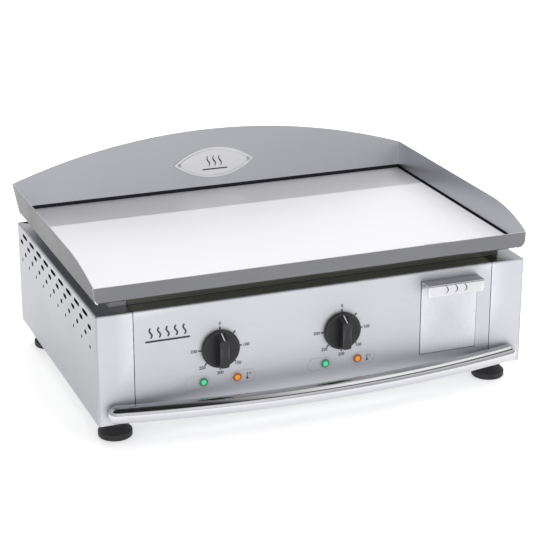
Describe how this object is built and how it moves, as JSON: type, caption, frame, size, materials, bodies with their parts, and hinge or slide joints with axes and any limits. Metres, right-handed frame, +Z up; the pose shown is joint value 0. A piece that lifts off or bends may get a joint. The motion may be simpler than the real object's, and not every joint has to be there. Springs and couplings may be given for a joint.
{
  "type": "countertop griddle",
  "caption": "Countertop electric flat top griddle with splash guards, thermostat knobs, pilot lamps, a front rail, a grease drawer and levelling feet.",
  "frame": {"origin": "centre of the footprint, on the worktop", "axes": "+Z up, -Y towards the user (knobs, rail and drawer), +X to the user's right"},
  "size_m": [0.5984, 0.4556, 0.278],
  "materials": {
    "brushed_stainless": "satin brushed stainless steel, grain along the sheet",
    "polished_stainless": "polished stainless steel",
    "chromed_plate": "hard chromed, near mirror with fine use marks",
    "galvanised_steel": "zinc plated",
    "aluminium": "mill finish",
    "element_sheath": "heat darkened sheath",
    "copper_bulb": "drawn tube",
    "mineral_wool": "matt fibre",
    "thermostat_body": "moulded",
    "knob_plastic": "moulded, fine texture",
    "green_lens": "clear tinted lens",
    "orange_lens": "clear tinted lens",
    "black_nylon": "moulded",
    "ceramic": "unglazed",
    "foot_rubber": "moulded rubber"
  },
  "bodies": {
    "chassis": {"back_splash_guard": "brushed_stainless", "base_plate": "galvanised_steel", "drain_chute": "brushed_stainless", "drawer_guide_left": "galvanised_steel", "drawer_guide_right": "galvanised_steel", "element_clamp_left": "galvanised_steel", "element_clamp_right": "galvanised_steel", "foot_insert_front_left": "galvanised_steel", "foot_insert_front_right": "galvanised_steel", "foot_insert_rear_left": "galvanised_steel", "foot_insert_rear_right": "galvanised_steel", "front_panel": "brushed_stainless", "front_rail": "polished_stainless", "front_rim": "brushed_stainless", "gland_body": "black_nylon", "gland_nut": "black_nylon", "griddle_plate": "chromed_plate", "heat_lamp_body_left": "black_nylon", "heat_lamp_body_right": "black_nylon", "heat_lamp_lens_left": "orange_lens", "heat_lamp_lens_right": "orange_lens", "heat_reflector": "aluminium", "heat_shield": "galvanised_steel", "heat_spreader": "aluminium", "heating_element_left": "element_sheath", "heating_element_right": "element_sheath", "insulation_blanket": "mineral_wool", "left_side_panel": "brushed_stainless", "left_splash_guard": "brushed_stainless", "nameplate": "polished_stainless", "nameplate_screw_left": "polished_stainless", "nameplate_screw_right": "polished_stainless", "power_lamp_body_left": "black_nylon", "power_lamp_body_right": "black_nylon", "power_lamp_lens_left": "green_lens", "power_lamp_lens_right": "green_lens", "rear_panel": "brushed_stainless", "right_side_panel": "brushed_stainless", "right_splash_guard": "brushed_stainless", "terminal_block": "ceramic", "thermostat_bulb_left": "copper_bulb", "thermostat_bulb_right": "copper_bulb", "thermostat_left": "thermostat_body", "thermostat_right": "thermostat_body"},
    "grease_drawer": {"drawer_front": "brushed_stainless", "drawer_tray": "brushed_stainless", "drawer_handle": "polished_stainless"},
    "knob_left": {"knob_left": "knob_plastic", "knob_shaft_left": "polished_stainless"},
    "knob_right": {"knob_right": "knob_plastic", "knob_shaft_right": "polished_stainless"},
    "foot_front_left": {"foot_pad_front_left": "foot_rubber", "foot_stud_front_left": "galvanised_steel"},
    "foot_front_right": {"foot_pad_front_right": "foot_rubber", "foot_stud_front_right": "galvanised_steel"},
    "foot_rear_left": {"foot_pad_rear_left": "foot_rubber", "foot_stud_rear_left": "galvanised_steel"},
    "foot_rear_right": {"foot_pad_rear_right": "foot_rubber", "foot_stud_rear_right": "galvanised_steel"}
  },
  "joints": [
    {"name": "drawer_slide", "type": "slide", "parent": "chassis", "child": "grease_drawer", "axis": [0, -1, 0], "range_m": [0, 0.2]},
    {"name": "knob_left_turn", "type": "hinge", "parent": "chassis", "child": "knob_left", "pos_m": [-0.1344, -0.18115, 0.1112], "axis": [0, 1, 0], "range_deg": [0, 270]},
    {"name": "knob_right_turn", "type": "hinge", "parent": "chassis", "child": "knob_right", "pos_m": [0.032, -0.18115, 0.1112], "axis": [0, 1, 0], "range_deg": [0, 270]},
    {"name": "foot_front_left_adjust", "type": "slide", "parent": "chassis", "child": "foot_front_left", "axis": [0, 0, -1], "range_m": [0, 0.01]},
    {"name": "foot_front_right_adjust", "type": "slide", "parent": "chassis", "child": "foot_front_right", "axis": [0, 0, -1], "range_m": [0, 0.01]},
    {"name": "foot_rear_left_adjust", "type": "slide", "parent": "chassis", "child": "foot_rear_left", "axis": [0, 0, -1], "range_m": [0, 0.01]},
    {"name": "foot_rear_right_adjust", "type": "slide", "parent": "chassis", "child": "foot_rear_right", "axis": [0, 0, -1], "range_m": [0, 0.01]}
  ]
}
